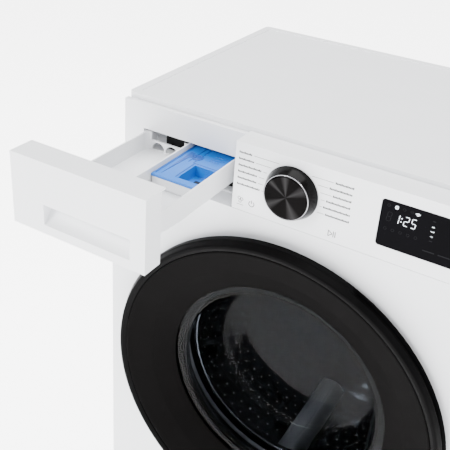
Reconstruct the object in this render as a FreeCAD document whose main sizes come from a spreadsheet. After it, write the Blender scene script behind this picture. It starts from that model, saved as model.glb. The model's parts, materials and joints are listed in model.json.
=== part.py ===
import FreeCAD, Part
import os
import re
import Sketcher

# Front load washing machine, 600 mm wide, 850 mm high.
# Modelled with the origin on the floor at the middle of the cabinet's footprint, +Z up;
# the door and the detergent drawer face -Y, +X is the right-hand side seen from the front.
# The drawer is modelled pulled out and the door closed. The last lines move every piece
# along Y so that the origin lies under the middle of the whole outline.

doc = FreeCAD.newDocument("FrontLoadWasher")

# ---------------------------------------------------------------- driving dimensions (mm)
DIMENSIONS = [
    ("width", 600, "cabinet, side to side"),
    ("depth", 480, "cabinet, front face to rear flange"),
    ("height", 850, "floor to worktop"),
    ("foot_gap", 20, "floor to underside of base"),
    ("sheet", 1.2, "cabinet sheet steel"),
    ("moulding", 3, "control panel wall"),
    ("panel_bottom", 742, "seam under the control panel"),
    ("ledge", 844, "top of the control panel"),
    ("plate_bottom", 822, "underside of the worktop"),
    ("panel_depth", 40, "front face back to the worktop"),
    ("recess", 31.5, "depth of the drawer's recess in the control panel"),
    ("drawer_right", -91, "right-hand end of the drawer front"),
    ("drawer_out", 202, "how far the drawer stands out"),
    ("port_left", -265, "drawer port, left side"),
    ("port_right", -93, "drawer port, right side"),
    ("port_low", 746, "drawer port, bottom"),
    ("port_top", 801.5, "drawer port, top"),
    ("tray_left", -262, "drawer tray, left side"),
    ("tray_right", -107, "drawer tray, right side"),
    ("tray_low", 764, "drawer tray, underside"),
    ("tray_top", 798, "drawer tray, rim"),
    ("tray_wall", 2.5, "drawer tray wall"),
    ("axis_height", 448, "height of the drum, tub and door axis"),
    ("door_rim", 270, "door, outside radius at the back"),
    ("door_lip", 263, "door, outside radius at the front"),
    ("door_bore", 252, "door rim, inside radius"),
    ("door_window", 177, "radius of the window"),
    ("door_gap", 7, "door back to front panel"),
    ("door_thick", 30, "front panel to door front"),
    ("hinge_across", -254, "door hinge axis, across"),
    ("hinge_ahead", 20, "door hinge axis, ahead of the front panel"),
    ("front_port", 212, "radius of the port in the front panel"),
    ("tub_radius", 262, "outer tub, outside"),
    ("tub_wall", 4, "outer tub wall"),
    ("tub_mouth", 183, "tub mouth radius"),
    ("drum_radius", 241.2, "drum, outside"),
    ("drum_wall", 1.2, "drum sheet"),
    ("drum_mouth", 172, "drum mouth radius"),
    ("shaft_radius", 14.96, "drum shaft"),
    ("bearing_bore", 15, "bearing inner ring"),
    ("bearing_outer", 31, "bearing outer ring"),
    ("knob_height", 794, "height of the knob's axis"),
    ("knob_across", -4, "knob axis, across"),
    ("knob_base", 38.5, "knob radius at the panel"),
    ("knob_face", 32.5, "knob radius at its front"),
    ("knob_stand", 18, "how far the knob stands out"),
    ("display_left", 116, "display, left side"),
    ("display_right", 290, "display, right side"),
    ("display_low", 762, "display, bottom"),
    ("display_top", 828, "display, top"),
    ("filter_across", 225, "pump filter axis, across"),
    ("filter_height", 85, "pump filter axis, height"),
    ("foot_across", 255, "foot axis, across"),
    ("foot_along", 200, "foot axis, front to back"),
    ("damper_across", 150, "damper axis, across"),
    ("spring_across", 265, "suspension spring axis, across"),
    ("stud_radius", 4.98, "foot stud"),
    ("stud_hole", 5.03, "hole for a foot stud"),
    ("inlet_radius", 13.2, "G 3/4 inlet thread, outside"),
    ("spigot_radius", 11, "drain spigot, outside"),
]

sheet = doc.addObject("Spreadsheet::Sheet", "Dimensions")
for row, (alias, value, note) in enumerate(DIMENSIONS, start=1):
    sheet.set("A%d" % row, note)
    sheet.set("B%d" % row, str(value))
    sheet.setAlias("B%d" % row, alias)
doc.recompute()

ALIASES = {alias for alias, value, note in DIMENSIONS}
FRONT = "(-depth / 2)"
REAR = "(depth / 2)"

# ---------------------------------------------------------------- helpers
nodes = {}
count = 0


def formula(text):
    """An expression with the sheet's name put before each alias."""
    return re.sub(r"[a-z_]+", lambda m: "Dimensions." + m.group(0) if m.group(0) in ALIASES else m.group(0), text)


def bind(thing, prop, value):
    """Sets a plain number, or binds an expression of the sheet's aliases."""
    if isinstance(value, str):
        thing.setExpression(prop, formula(value))
    else:
        thing.setExpression(prop, repr(float(value)))


def size_of(value):
    return "(%s)" % value


def between(span):
    """The length of a (low, high) span."""
    return "%s - %s" % (size_of(span[1]), size_of(span[0]))


def new(kind, label=None):
    """A document object with a name of its own."""
    global count
    count += 1
    thing = doc.addObject(kind, "Step%03d" % count)
    if label:
        thing.Label = label
    return thing


def block(x, y, z):
    """A box from three (low, high) spans."""
    box = new("Part::Box")
    for prop, base, span in (("Length", "x", x), ("Width", "y", y), ("Height", "z", z)):
        bind(box, prop, between(span))
        bind(box, "Placement.Base." + base, size_of(span[0]))
    return box


TURNS = {
    "x": FreeCAD.Rotation(FreeCAD.Vector(0, 1, 0), 90),
    "y": FreeCAD.Rotation(FreeCAD.Vector(1, 0, 0), -90),
    "z": FreeCAD.Rotation(),
}


def rod(axis, at, span, radius):
    """A cylinder along an axis; at gives its other two coordinates."""
    cylinder = new("Part::Cylinder")
    cylinder.Placement.Rotation = TURNS[axis]
    bind(cylinder, "Radius", size_of(radius))
    bind(cylinder, "Height", between(span))
    across = [letter for letter in "xyz" if letter != axis]
    for letter, value in zip(across, at):
        bind(cylinder, "Placement.Base." + letter, size_of(value))
    bind(cylinder, "Placement.Base." + axis, size_of(span[0]))
    return cylinder


def fuse(*pieces):
    joined = new("Part::MultiFuse")
    joined.Shapes = list(pieces)
    return joined


def cut(base, *tools):
    """base with every tool taken away."""
    result = new("Part::Cut")
    result.Base = base
    result.Tool = tools[0] if len(tools) == 1 else fuse(*tools)
    return result


def group(*pieces):
    """Separate solids that share one node."""
    bundle = new("Part::Compound")
    bundle.Links = list(pieces)
    return bundle


def tube(axis, at, span, outer, inner):
    low = "%s - 1" % size_of(span[0])
    high = "%s + 1" % size_of(span[1])
    return cut(rod(axis, at, span, outer), rod(axis, at, (low, high), inner))


def edges_along(base, axis):
    """(number, edge) of every straight edge that runs along an axis."""
    doc.recompute()
    wanted = "xyz".index(axis)
    found = []
    for number, edge in enumerate(base.Shape.Edges, start=1):
        if isinstance(edge.Curve, Part.Line):
            step = edge.Vertexes[1].Point - edge.Vertexes[0].Point
            if abs(step[wanted]) > 0.999 * step.Length:
                found.append((number, edge))
    return found


def rounded(base, axis, radius):
    """base with its edges along an axis rounded."""
    fillet = new("Part::Fillet")
    fillet.Base = base
    fillet.Edges = [(number, radius, radius) for number, edge in edges_along(base, axis)]
    return fillet


def swung(x, y, z, degrees):
    """A box from three spans measured from the drum axis, then turned about that axis."""
    box = new("Part::Box")
    for prop, span in (("Length", x), ("Width", y), ("Height", z)):
        bind(box, prop, between(span))
    box.Placement.Rotation = FreeCAD.Rotation(FreeCAD.Vector(0, 1, 0), degrees)
    corner = box.Placement.Rotation.multVec(FreeCAD.Vector(x[0], 0, z[0]))
    bind(box, "Placement.Base.x", corner.x)
    bind(box, "Placement.Base.y", y[0])
    bind(box, "Placement.Base.z", "axis_height + (%r)" % corner.z)
    return box


def outline(body, plane, points):
    """A closed sketch through the points, each coordinate bound to the sheet."""
    sketch = body.newObject("Sketcher::SketchObject", "Outline%03d" % count)
    origin = [feature for feature in body.Origin.OriginFeatures if feature.Role == plane][0]
    sketch.AttachmentSupport = (origin, "")
    sketch.MapMode = "FlatFace"
    probe = new("App::FeaturePython")
    places = []
    for across, along in points:
        for name, value in (("across", across), ("along", along)):
            if name not in probe.PropertiesList:
                probe.addProperty("App::PropertyFloat", name)
            bind(probe, name, size_of(value))
        probe.recompute()
        spot = FreeCAD.Vector(probe.across, probe.along, 0)
        places.append(spot)
    doc.removeObject(probe.Name)
    total = len(places)
    for index in range(total):
        sketch.addGeometry(Part.LineSegment(places[index], places[(index + 1) % total]), False)
    for index in range(total):
        following = (index + 1) % total
        sketch.addConstraint(Sketcher.Constraint("Coincident", index, 2, following, 1))
    for index, (across, along) in enumerate(points):
        for kind, letter, value, now in (
            ("DistanceX", "a", across, places[index].x),
            ("DistanceY", "b", along, places[index].y),
        ):
            if value == 0:
                axis_line = -2 if kind == "DistanceX" else -1
                sketch.addConstraint(Sketcher.Constraint("PointOnObject", index, 1, axis_line))
                continue
            number = sketch.addConstraint(Sketcher.Constraint(kind, -1, 1, index, 1, now))
            sketch.renameConstraint(number, "%s%d" % (letter, index))
            bind(sketch, "Constraints.%s%d" % (letter, index), size_of(value))
    return sketch


def turned(points, axis="y", at=(0, "axis_height")):
    """A solid of revolution from (radius, position along the axis) points."""
    global count
    count += 1
    body = doc.addObject("PartDesign::Body", "Turned%03d" % count)
    sketch = outline(body, "XY_Plane", points)
    turn = body.newObject("PartDesign::Revolution", "Turn%03d" % count)
    turn.Profile = sketch
    turn.ReferenceAxis = (sketch, ["V_Axis"])
    turn.Angle = 360
    sketch.Visibility = False
    if axis == "z":
        body.Placement.Rotation = FreeCAD.Rotation(FreeCAD.Vector(1, 0, 0), 90)
    for letter, value in zip([letter for letter in "xyz" if letter != axis], at):
        bind(body, "Placement.Base." + letter, size_of(value))
    return body


def extruded(plane, points, span):
    """A prism: an outline in the yz or xy plane, pushed along x or z over a span."""
    global count
    count += 1
    body = doc.addObject("PartDesign::Body", "Prism%03d" % count)
    role, letter = {"yz": ("YZ_Plane", "x"), "xy": ("XY_Plane", "z")}[plane]
    sketch = outline(body, role, points)
    pad = body.newObject("PartDesign::Pad", "Pad%03d" % count)
    pad.Profile = sketch
    bind(pad, "Length", between(span))
    bind(body, "Placement.Base." + letter, size_of(span[0]))
    return body


def node(name, thing):
    """Names a finished piece."""
    thing.Label = name
    nodes[name] = thing


def ahead(distance):
    """A Y position this far in front of the front panel."""
    return "%s - (%s)" % (FRONT, distance)


def behind(distance):
    """A Y position this far behind the front panel's face."""
    return "%s + (%s)" % (FRONT, distance)


HALF = "width / 2"
FEET = [
    ("front_left", "-foot_across", "-foot_along"),
    ("front_right", "foot_across", "-foot_along"),
    ("rear_left", "-foot_across", "foot_along"),
    ("rear_right", "foot_across", "foot_along"),
]
SCREWS = [(side, height) for side in (-280, 280) for height in (60, 300, 550, 790)]

# ---------------------------------------------------------------- cabinet
# The wrap-round shell: two sides and a rear flange, open at the top and the front.
shell = cut(
    block(("-" + HALF, HALF), (behind("sheet"), REAR), ("foot_gap", "plate_bottom")),
    block(("-width / 2 + sheet", "width / 2 - sheet"), (ahead(5), "depth / 2 - sheet"), (0, 900)),
    block((-275, 275), (200, 260), (45, 900)),
    block(("-width / 2 - 1", "width / 2 + 1"), (ahead(5), behind("panel_depth + 0.5")), ("panel_bottom", 900)),
    *[rod("y", (side, height), (200, 260), 2.1) for side, height in SCREWS],
)
hooks = [
    block(("-width / 2 + sheet / 2", "-spring_across + 8"), (53, 67), (782, 792)),
    block(("spring_across - 8", "width / 2 - sheet / 2"), (53, 67), (782, 792)),
]
node("cabinet_shell", fuse(shell, *hooks))

floor_pan = cut(
    block(("-width / 2 + sheet + 0.3", "width / 2 - sheet - 0.3"), (behind(2), "depth / 2 - 2"), ("foot_gap", 38)),
    block(("-width / 2 + 6", "width / 2 - 6"), (behind(6), "depth / 2 - 6"), ("foot_gap + 3", 60)),
)
bosses = [rod("z", (x, y), ("foot_gap", 38), 11) for name, x, y in FEET]
holes = [rod("z", (x, y), (0, 60), "stud_hole") for name, x, y in FEET]
node("base_pan", cut(fuse(floor_pan, *bosses), *holes))

# The front panel: one pressed sheet with side returns, the port and the filter opening.
returns = [
    block(span, (behind(0.5), behind(20)), (52, "panel_bottom - 0.6"))
    for span in (("-width / 2 + sheet + 0.2", "-width / 2 + 2 * sheet + 0.2"),
                 ("width / 2 - 2 * sheet - 0.2", "width / 2 - sheet - 0.2"))
]
lugs = [
    cut(block((low, high), (behind(0.6), behind(6)), (39, 48)), rod("x", (behind(3.2), 44), (150, 300), 1.55))
    for low, high in ((170.5, 174.5), (275.5, 279.5))
]
front_sheet = cut(
    block(("-" + HALF, HALF), (FRONT, behind("sheet")), ("foot_gap", "panel_bottom - 0.4")),
    rod("y", (0, "axis_height"), (ahead(5), behind(20)), "front_port"),
    block((222, 243), (ahead(5), behind(20)), ("axis_height - 12", "axis_height + 12")),
    block((175, 275), (ahead(5), behind(20)), (40, 130)),
)
port_flange = tube("y", (0, "axis_height"), (FRONT, behind(12)), "front_port + sheet", "front_port")
node("front_panel", fuse(front_sheet, port_flange, *returns, *lugs))

flap = cut(
    block((175.5, 274.5), (FRONT, behind(2.4)), (41.2, 129.4)),
    block((190, 198), (ahead(1), behind(0.8)), (118, 127)),
)
flap_ears = [block(span, (behind(2), behind(4.6)), (42.8, 46)) for span in ((176, 182), (268, 274))]
node("filter_flap", fuse(flap, *flap_ears, rod("x", (behind(3.2), 44), (171, 279), 1.5)))

rear_plate = cut(
    block((-288, 288), (REAR, "depth / 2 + 1.5"), (30, 818)),
    rod("y", (-225, 795), (200, 260), 15),
    rod("y", (180, 90), (200, 260), 13),
    rod("y", (-200, 60), (200, 260), 9),
    *[rod("y", (side, height), (200, 260), 2.1) for side, height in SCREWS],
)
bead = tube("y", (0, "axis_height"), ("depth / 2 + 1", "depth / 2 + 3"), 205, 195)
node("rear_cover", fuse(rear_plate, bead))

screws = []
for side, height in SCREWS:
    head = rod("y", (side, height), ("depth / 2 + 1.5", "depth / 2 + 4"), 4.5)
    slot = block((side - 3, side + 3), ("depth / 2 + 3", "depth / 2 + 5"), (height - 0.6, height + 0.6))
    shank = rod("y", (side, height), ("depth / 2 - 5", "depth / 2 + 1.6"), 2)
    screws.append(cut(fuse(head, shank), slot))
node("cabinet_screws", group(*screws))

# The worktop: a hollow plate with a raised border round its top.
slab = rounded(
    block(("-" + HALF, HALF), (behind("panel_depth + 0.4"), "depth / 2 + 2"), ("plate_bottom", "height")), "z", 9)
dish = rounded(
    block(("-width / 2 + 14", "width / 2 - 14"), (behind("panel_depth + 13"), "depth / 2 - 11"),
          ("height - 1.2", "height + 1")), "z", 4)
hollow = block(("-width / 2 + 4", "width / 2 - 4"), (behind("panel_depth + 4"), "depth / 2 - 2"), (800, "height - 5"))
node("top_plate", cut(slab, dish, hollow))

# ---------------------------------------------------------------- control panel
back_of_panel = behind("panel_depth")
face = block(("drawer_right", HALF), (FRONT, behind("moulding")), ("panel_bottom", "ledge"))
ledge_right = block(("drawer_right", HALF), (FRONT, back_of_panel), ("ledge - moulding", "ledge"))
ledge_left = block(
    ("-" + HALF, "drawer_right"), (behind("recess"), back_of_panel), ("ledge - moulding - 2.7", "ledge - 2.7"))
recess_face = block(
    ("-" + HALF, "drawer_right"), (behind("recess"), behind("recess + moulding")), ("panel_bottom", "ledge - 2.7"))
step_wall = block(("drawer_right", "drawer_right + moulding"), (FRONT, back_of_panel), ("panel_bottom", "ledge"))
sill = block(("drawer_right", HALF), (FRONT, back_of_panel), ("panel_bottom", "panel_bottom + moulding"))
end_right = block(("width / 2 - moulding", HALF), (FRONT, back_of_panel), ("panel_bottom", "ledge"))
end_left = block(
    ("-" + HALF, "-width / 2 + moulding"), (behind("recess"), back_of_panel), ("panel_bottom", "ledge - 2.7"))
display_hole = rounded(
    block(("display_left", "display_right"), (ahead(5), behind(10)), ("display_low", "display_top")), "y", 4.3)
drawer_port = block(("port_left", "port_right"), (behind(20), behind(38)), ("port_low", "port_top"))
knob_hole = rod("y", ("knob_across", "knob_height"), (ahead(5), behind(10)), 8)
node(
    "control_panel",
    cut(
        fuse(face, ledge_right, ledge_left, recess_face, step_wall, sill, end_right, end_left),
        display_hole, drawer_port, knob_hole,
    ),
)
node(
    "display_window",
    rounded(block(("display_left + 0.3", "display_right - 0.3"), (ahead(0.5), behind(2.5)),
                  ("display_low + 0.3", "display_top - 0.3")), "y", 4),
)
node("display_board", block((104, 296), (behind(9), behind(10.6)), (748, 838)))
node(
    "front_crossmember",
    cut(
        block(("-width / 2 + 4", "width / 2 - 4"), (behind(1.4), behind(28)), (718, "panel_bottom - 1")),
        block(("-width / 2", "width / 2"), (behind(2.9), behind(40)), (719.5, "panel_bottom - 2.5")),
    ),
)
node(
    "knob_encoder",
    cut(block(("knob_across - 12", "knob_across + 12"), (behind("moulding + 0.2"), behind(16)),
              ("knob_height - 12", "knob_height + 12")),
        rod("y", ("knob_across", "knob_height"), (FRONT, behind(30)), 3.06)),
)
node(
    "knob_body",
    turned(
        [(0, ahead("knob_stand - 4")), ("knob_face - 1.4", ahead("knob_stand - 4")),
         ("knob_face - 1.4", ahead("knob_stand")), ("knob_face", ahead("knob_stand - 0.4")),
         ("knob_base", ahead(1)), ("knob_base - 2.5", ahead(1)), ("knob_face - 3.5", ahead("knob_stand - 6.5")),
         (6, ahead("knob_stand - 6.5")), (6, ahead(1)), (3, ahead(1)), (3, behind(14)), (0, behind(14))],
        at=("knob_across", "knob_height"),
    ),
)
node(
    "knob_disc",
    turned(
        [(0, ahead("knob_stand - 0.6")), (4, ahead("knob_stand - 0.6")), (28.5, ahead("knob_stand + 0.4")),
         (30.9, ahead("knob_stand - 0.2")), (30.9, ahead("knob_stand - 3.9")), (0, ahead("knob_stand - 3.9"))],
        at=("knob_across", "knob_height"),
    ),
)

# ---------------------------------------------------------------- detergent drawer and its housing
cap_span = ("-" + HALF, "drawer_right - 0.6")
cap = block(cap_span, (ahead("drawer_out"), ahead("drawer_out - 31")), ("panel_bottom", "ledge"))
cap_roof = block(cap_span, (ahead("drawer_out - 30"), ahead("drawer_out - 39")), ("ledge - 2.4", "ledge"))
cap_hollow = block(
    ("-width / 2 + 3", "drawer_right - 3.6"), (ahead("drawer_out - 3"), ahead("drawer_out - 40")),
    ("panel_bottom + 3", "ledge - 2.7"))
pull_boss = block((-253, -109), (ahead("drawer_out - 2"), ahead("drawer_out - 22")), (748, 789))
pull_scoop = extruded(
    "yz",
    [(ahead("drawer_out + 1"), 784), (ahead("drawer_out - 19"), 784), (ahead("drawer_out - 19"), 776),
     (ahead("drawer_out - 6"), 759), (ahead("drawer_out"), 755), (ahead("drawer_out + 1"), 755)],
    (-248, -114),
)
node("drawer_front", cut(fuse(cut(fuse(cap, cap_roof), cap_hollow), pull_boss), pull_scoop))

tray_start = ahead("drawer_out - 23")
tray_end = behind(62)
tray_outside = extruded(
    "yz",
    [(tray_start, "tray_top"), (tray_start, 784), (ahead("drawer_out - 40"), 772), (ahead("drawer_out - 66"), 766),
     (ahead("drawer_out - 100"), "tray_low"), (tray_end, "tray_low"), (tray_end, "tray_top")],
    ("tray_left", "tray_right"),
)
tray_floor = "tray_low + tray_wall + 4"
powder_hole = rounded(
    block(("tray_left + tray_wall", -188), (ahead("drawer_out - 42"), behind(34)), (tray_floor, 900)), "z", 10)
powder_rear = block(("tray_left + tray_wall", -188), (behind(37), behind(59.5)), ("tray_low + tray_wall", 900))
liquid_hole = block(
    (-185.5, "tray_right - tray_wall"), (ahead("drawer_out - 42"), behind(59.5)), (tray_floor, 900))
arches = []
for middle in (-240, -216):
    arch = new("Part::Common")
    arch.Base = rod("y", (middle, 772.5), (behind(30), behind(40)), 10.5)
    arch.Tool = block((middle - 12, middle + 12), (behind(30), behind(40)), (771, 790))
    arches.append(arch)
arches.append(block((-252, -188), (behind(33), behind(38)), (785.5, 900)))
node("drawer_tray", cut(tray_outside, powder_hole, powder_rear, liquid_hole, *arches))

insert = rounded(block((-184.7, -110.3), (ahead(62), behind(55)), (771, 792)), "z", 3)
insert_well = block((-149, -114), (ahead(50), ahead(5)), (776, 800))
insert_under = block((-182, -113), (ahead(2), behind(52)), (760, 788))
node("siphon_insert", cut(insert, insert_well, insert_under))

housing = cut(
    block(("port_left - 2.5", "port_right + 1.5"), (behind("recess + moulding + 0.2"), behind(268)), (743.5, 805)),
    block(("port_left", "port_right - 1"), (behind(20), behind(265)), ("port_low", "port_top + 0.7")),
)
housing_outlet = rod("z", (-180, -20), (726, 745), 15)
housing_bore = rod("z", (-180, -20), (700, 760), 12.5)
node("dispenser_housing", cut(fuse(housing, housing_outlet), housing_bore))
distributor = cut(block((-255, -105), (-190, 10), (805.2, 819)), block((-252, -108), (-187, 7), (807.5, 817)))
distributor_inlet = rod("y", (-225, 811), (8, 45), 5.5)
node("water_distributor", cut(fuse(distributor, distributor_inlet), rod("y", (-225, 811), (0, 50), 3.5)))

valve_body = block((-247, -203), (202, 238), (778, 820))
valve_front = rod("y", (-225, 811), (184, 203), 5.5)
valve_inlet = rod("y", (-225, 795), (237, 256), "inlet_radius")
node(
    "inlet_valve",
    cut(fuse(valve_body, valve_front, valve_inlet),
        rod("y", (-225, 795), (225, 260), 9), rod("y", (-225, 811), (180, 195), 3.5)),
)
node("fill_hose", tube("y", (-225, 811), (29, 200), 8, 5.8))
node("detergent_hose", tube("z", (-180, -20), (660, 740), 19, 15.4))

# ---------------------------------------------------------------- electrics and fittings
node("control_box", rounded(block((150, 285), (100, 225), (750, 812)), "z", 6))
lock = cut(
    block((219, 262), (behind(1.5), behind(17.5)), ("axis_height - 25", "axis_height + 25")),
    block((222, 242), (FRONT, behind(15.5)), ("axis_height - 11", "axis_height + 11")),
)
node("door_lock", lock)
gland = cut(
    fuse(rod("y", (-200, 60), ("depth / 2 + 1.6", "depth / 2 + 5"), 12),
         rod("y", (-200, 60), ("depth / 2 - 4", "depth / 2 + 2"), 8.8)),
    rod("y", (-200, 60), (200, 260), 4.2),
)
node("cord_gland", gland)
node(
    "foot_locknuts",
    group(*[tube("z", (x, y), (13, 19.8), 9, "stud_hole") for name, x, y in FEET]),
)
for name, x, y in FEET:
    pad = [(0, 0), (19, 0), (21, 2), (21, 8), (12, 12.8), ("stud_radius", 12.8), ("stud_radius", 62), (0, 62)]
    node("foot_" + name, turned(pad, axis="z", at=(x, y)))

# ---------------------------------------------------------------- drain pump and filter
chamber = cut(
    fuse(
        rod("y", ("filter_across", "filter_height"), (behind(14), -70), 32),
        block(("filter_across - 57", "filter_across - 25"), (-140, -115), ("filter_height - 10", "filter_height + 14")),
        rod("z", ("filter_across", -150), (110, 150), 17),
        block(("filter_across - 30", "filter_across + 30"), (-150, -80), (23, "filter_height - 20")),
    ),
    rod("y", ("filter_across", "filter_height"), (ahead(5), -128), 28),
    rod("z", ("filter_across", -150), (100, 160), 14),
)
node("drain_pump", chamber)
blades = [
    block(("filter_across - 18", "filter_across + 18"), (-146, -134), ("filter_height - 1.2", "filter_height + 1.2")),
    block(("filter_across - 1.2", "filter_across + 1.2"), (-146, -134), ("filter_height - 18", "filter_height + 18")),
]
node("pump_impeller", fuse(rod("y", ("filter_across", "filter_height"), (-146, -129), 5), *blades))
plug = turned(
    [(0, behind(12)), (27, behind(12)), (27, behind(24)), (25, behind(26)), (25, -180), (22, -180),
     (22, behind(28)), (0, behind(28))],
    at=("filter_across", "filter_height"),
)
plug_grip = block(
    ("filter_across - 20", "filter_across + 20"), (behind(6.4), behind(13)),
    ("filter_height - 3.5", "filter_height + 3.5"))
node("drain_filter", fuse(plug, plug_grip))
pipe = fuse(rod("y", (180, 90), (-114.8, 243), "spigot_radius - 0.6"), rod("y", (180, 90), (242, 262), "spigot_radius"))
node("drain_pipe", cut(pipe, rod("y", (180, 90), (-120, 270), "spigot_radius - 2.5")))
node("sump_hose", tube("z", ("filter_across", -150), (128, 281), 21, 17.4))

# ---------------------------------------------------------------- door
centre = (0, "axis_height")
hinge_at = ("hinge_across", ahead("hinge_ahead"))
rim = turned(
    [("door_bore", ahead(22)), ("door_bore", ahead("door_gap")), ("door_rim - 3", ahead("door_gap")),
     ("door_rim", ahead("door_gap + 3")), ("door_lip + 1.5", ahead("door_thick - 2")), ("door_lip", ahead("door_thick")),
     ("door_lip - 4", ahead("door_thick")), ("door_bore + 2", ahead("door_thick - 2.5"))]
)
hinge_notch = block((-300, -235), (ahead(26), ahead(0)), ("axis_height - 46", "axis_height + 46"))
grip_ring = tube("y", centre, (ahead("door_gap + 13"), ahead("door_gap + 3.5")), 280, "door_rim - 8")
grip_half = block((108, 300), (ahead(60), behind(10)), (100, 800))
grip = new("Part::Common")
grip.Base = grip_ring
grip.Tool = grip_half
node("door_frame", cut(rim, hinge_notch, grip))
node(
    "door_trim_ring",
    cut(
        turned([("door_bore - 0.3", ahead(26.4)), ("door_bore - 0.3", ahead(22.5)),
                ("door_window + 2.5", behind(10.1)),
                ("door_window", behind(8.5)), ("door_window", behind(7))]),
        rod("z", hinge_at, ("axis_height - 46", "axis_height + 46"), 5),
    ),
)
inner_ring = turned(
    [("door_bore - 0.3", ahead(7)), ("door_bore - 0.3", ahead(4.6)), (217, ahead(4.6)), (196.5, behind(4.5)),
     (196.5, behind(16)), (166, behind(16)), (166, behind(13.6)), (194, behind(13.6)), (194, behind(4.3)),
     (219.5, ahead(7))]
)
latch_lugs = [
    block((227, 233.5), (ahead(11.5), ahead(6.5)), span)
    for span in (("axis_height - 10", "axis_height - 7"), ("axis_height + 7", "axis_height + 10"))
]
node(
    "door_inner_ring",
    cut(
        fuse(inner_ring, *latch_lugs),
        block((-300, -211.8), (ahead(30), behind(10)), ("axis_height - 47", "axis_height + 47")),
        block((225, 241), (ahead(20), behind(10)), ("axis_height - 6.8", "axis_height + 6.8")),
        rod("z", (230, ahead(9.3)), ("axis_height - 20", "axis_height + 20"), 1.35),
    ),
)
node(
    "door_glass",
    turned([(190, behind(10.4)), (190, behind(13.2)), (164, behind(13.2)), (146, behind(94)), (138, behind(103)),
            (110, behind(107)), (0, behind(109)), (0, behind(105)), (108, behind(103)), (135, behind(99)),
            (142, behind(92)), (160, behind(10.4))]),
)
knuckle = rod("z", hinge_at, ("axis_height - 26", "axis_height + 26"), 4.4)
web = block(
    ("hinge_across", "hinge_across + 4"), (ahead("hinge_ahead"), ahead(5)), ("axis_height - 26", "axis_height + 26"))
leaf = block(("hinge_across + 2", -218), (ahead(7.4), ahead(5)), ("axis_height - 26", "axis_height + 26"))
hinge_bore = rod("z", hinge_at, ("axis_height - 70", "axis_height + 70"), 2.55)
node("hinge_leaf", cut(fuse(knuckle, web, leaf), hinge_bore))
bracket = [block((-238, -214), (ahead(2.5), FRONT), ("axis_height - 45", "axis_height + 45"))]
for low, high in (("axis_height - 38", "axis_height - 32"), ("axis_height + 32", "axis_height + 38")):
    bracket.append(rod("z", hinge_at, (low, high), 4.4))
    bracket.append(extruded("xy", [(-236, ahead(1)), (-220, ahead(1)), (-220, ahead(2.5)),
                                   ("hinge_across + 4", ahead("hinge_ahead + 0.5")),
                                   ("hinge_across - 3", ahead("hinge_ahead - 2.5")), (-236, ahead(2.5))], (low, high)))
bracket.append(rod("z", hinge_at, ("axis_height - 40", "axis_height + 40"), 2.5))
node("hinge_bracket", fuse(*bracket))
hook = fuse(
    block((228, 233), (ahead(11), behind(13.5)), ("axis_height - 4", "axis_height + 4")),
    block((232, 237.5), (behind(9.5), behind(13.5)), ("axis_height - 4", "axis_height + 4")),
    rod("z", (230, ahead(9.3)), ("axis_height - 9.5", "axis_height + 9.5"), 1.3),
)
node("latch_hook", hook)

node(
    "door_gasket",
    turned([(207, behind(2)), (211.7, behind(2)), (211.7, behind(24)), (206, behind(32)), (206, behind(40)),
            (196, behind(47.5)), (196, behind(49.7)), (183, behind(49.7)), (183, behind(46)), (192, behind(44)),
            (202, behind(37)), (202, behind(32)), (180, behind(31)), (163, behind(27)), (163, behind(24)),
            (181, behind(27)), (207, behind(23))]),
)

# ---------------------------------------------------------------- tub
tub_inside = rod("y", centre, (behind(54.1), -71), "tub_radius - tub_wall - 0.05")
tub_front_wall = turned(
    [("tub_mouth", behind(50)), ("tub_radius", behind(50)), ("tub_radius", -72), ("tub_radius - tub_wall", -72),
     ("tub_radius - tub_wall", behind(54)), ("tub_mouth + 4", behind(54)), ("tub_mouth + 4", behind(56)),
     ("tub_mouth", behind(56))]
)
sump = cut(rod("z", ("filter_across", -150), (262, 330), 17), tub_inside)
node("tub_front", cut(fuse(tub_front_wall, sump), rod("z", ("filter_across", -150), (250, 340), 13)))
tub_rear_wall = turned(
    [("tub_radius - tub_wall", -71.7), ("tub_radius", -71.7), ("tub_radius", 150), (46, 150), (46, 168), (31.05, 168),
     (31.05, 112), (46, 112), (46, 144), ("tub_radius - tub_wall", 144)]
)
lugs = [
    block(("spring_across - 45", "spring_across + 10"), (50, 70), (588, 600)),
    block(("-spring_across - 10", "-spring_across + 45"), (50, 70), (588, 600)),
    block(("damper_across - 12", "damper_across + 12"), (50, 70), (205, 245)),
    block(("-damper_across - 12", "-damper_across + 12"), (50, 70), (205, 245)),
    rod("z", (-180, -20), (620, 668), 15),
]
rear_inside = rod("y", centre, (-80, 143.9), "tub_radius - tub_wall - 0.05")
trimmed = cut(fuse(*lugs), rear_inside)
heater_at = "axis_height - 246.4"
heater_slot = block((-46, 46), (130, 160), ("axis_height - 253", "axis_height - 240"))
node("tub_rear", cut(fuse(tub_rear_wall, trimmed), rod("z", (-180, -20), (600, 680), 12.5), heater_slot))
node("front_counterweight", tube("y", centre, (behind(19), behind(47.7)), 254, 222))
node(
    "top_counterweight",
    cut(block((-85, 95), (-120, 100), (680, 732)), rod("y", centre, (-130, 110), "tub_radius + 0.4")),
)
heater_rods = [rod("y", (x, heater_at), (-100, 153), 4) for x in (-40, 40)]
heater_flange = block((-52, 52), (150.2, 154), ("axis_height - 260", "axis_height - 233"))
node("heater", fuse(*heater_rods, rod("x", (-98, heater_at), (-40, 40), 3.8), heater_flange))
bearings = []
for start, end in ((116, 132), (150, 166)):
    bearings.append(turned(
        [("bearing_bore", start), (20, start), (20, start + 1), (26, start + 1), (26, start), ("bearing_outer", start),
         ("bearing_outer", end), (26, end), (26, end - 1), (20, end - 1), (20, end), ("bearing_bore", end)]))
node("drum_bearings", group(*bearings))
stator_ring = tube("y", centre, (156, 176), 84, 60)
foot_ring = tube("y", centre, (150.2, 157), 66, 50)
TEETH = 24
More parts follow.
